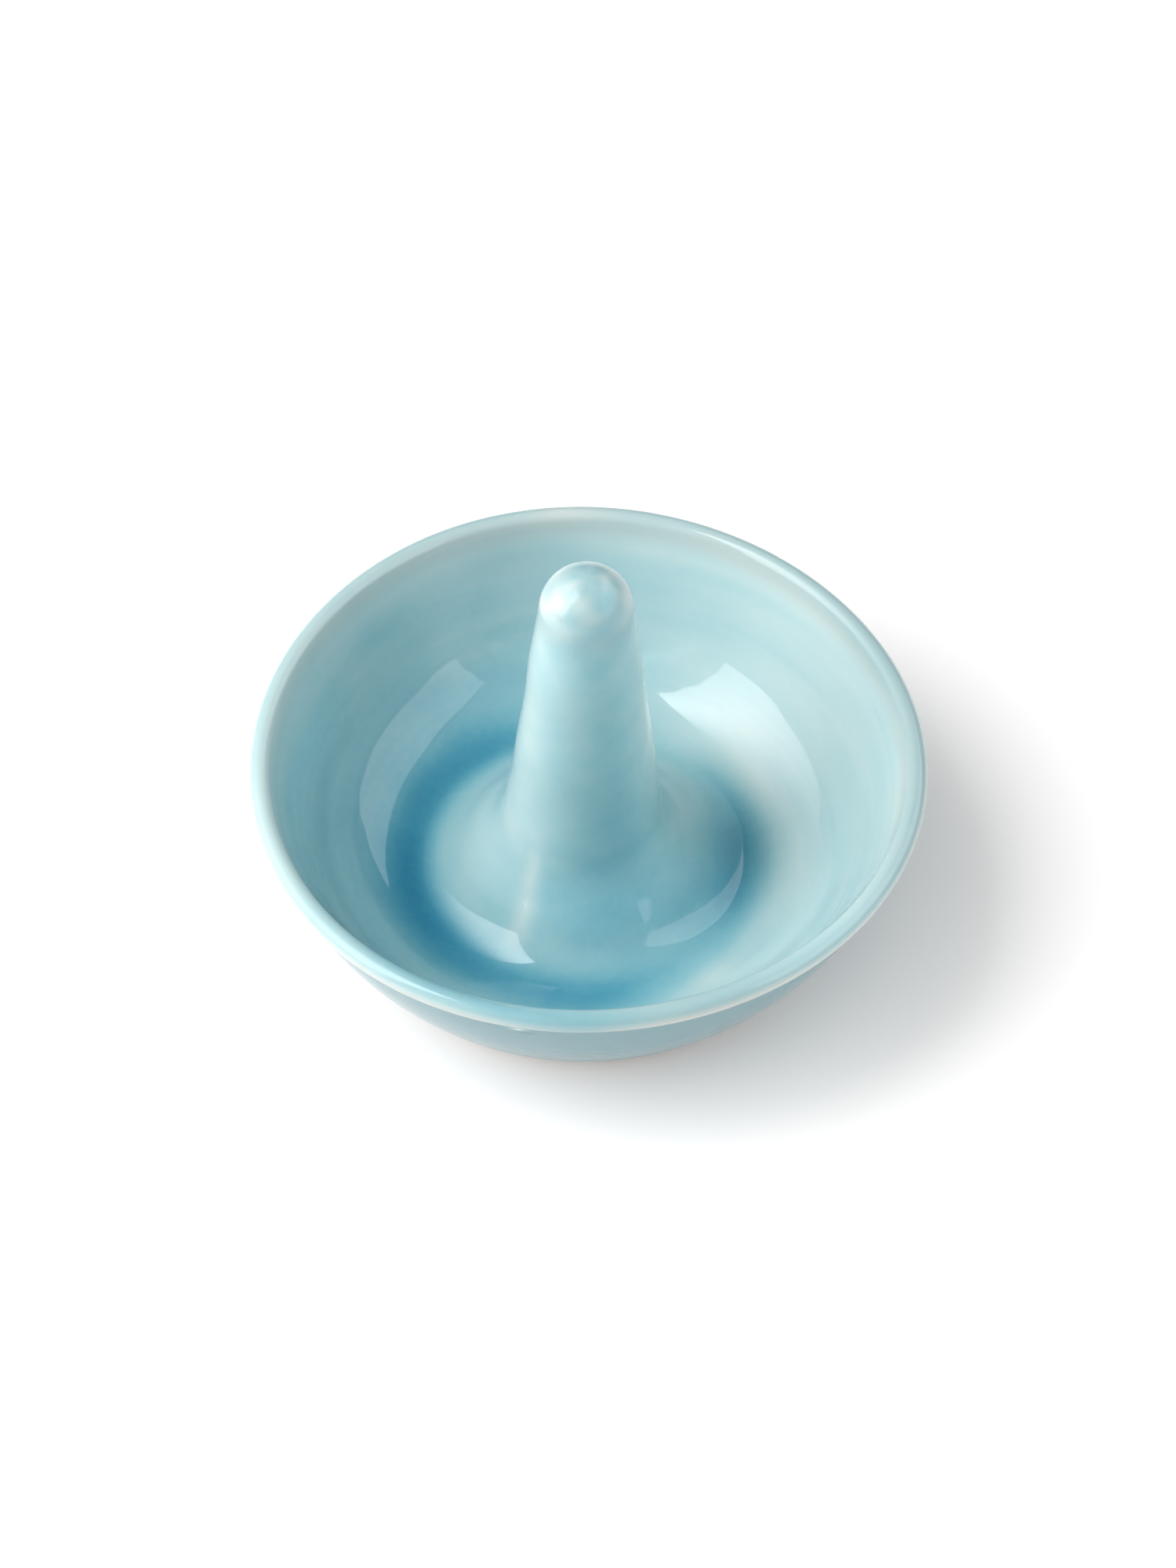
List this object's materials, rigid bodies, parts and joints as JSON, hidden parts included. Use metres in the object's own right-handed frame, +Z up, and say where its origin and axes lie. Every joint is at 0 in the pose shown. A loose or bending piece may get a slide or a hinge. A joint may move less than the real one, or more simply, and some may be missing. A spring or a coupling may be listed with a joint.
{
  "type": "ring dish",
  "caption": "Small round glazed stoneware dish with a rolled lip, a ring moat inside and a tapered round-tipped post in the middle for finger rings.",
  "frame": {"origin": "centre of the foot ring's underside, on the table", "axes": "+Z up along the axis that every piece is turned about; the picture looks along +Y from above, with +X to the right"},
  "size_m": [0.09, 0.09, 0.0639],
  "materials": {
    "stoneware": "fired cream stoneware under the glaze",
    "bare_foot": "bare fired stoneware, fine and matt",
    "aqua_glaze": "glossy translucent aqua glaze, deep blue where it pooled, cream on the lip's edges"
  },
  "bodies": {
    "root": {"bowl": "stoneware", "foot_ring": "bare_foot", "ring_post": "stoneware", "join_coil": "stoneware", "glaze_inside": "aqua_glaze", "glaze_outside": "aqua_glaze"}
  },
  "joints": []
}
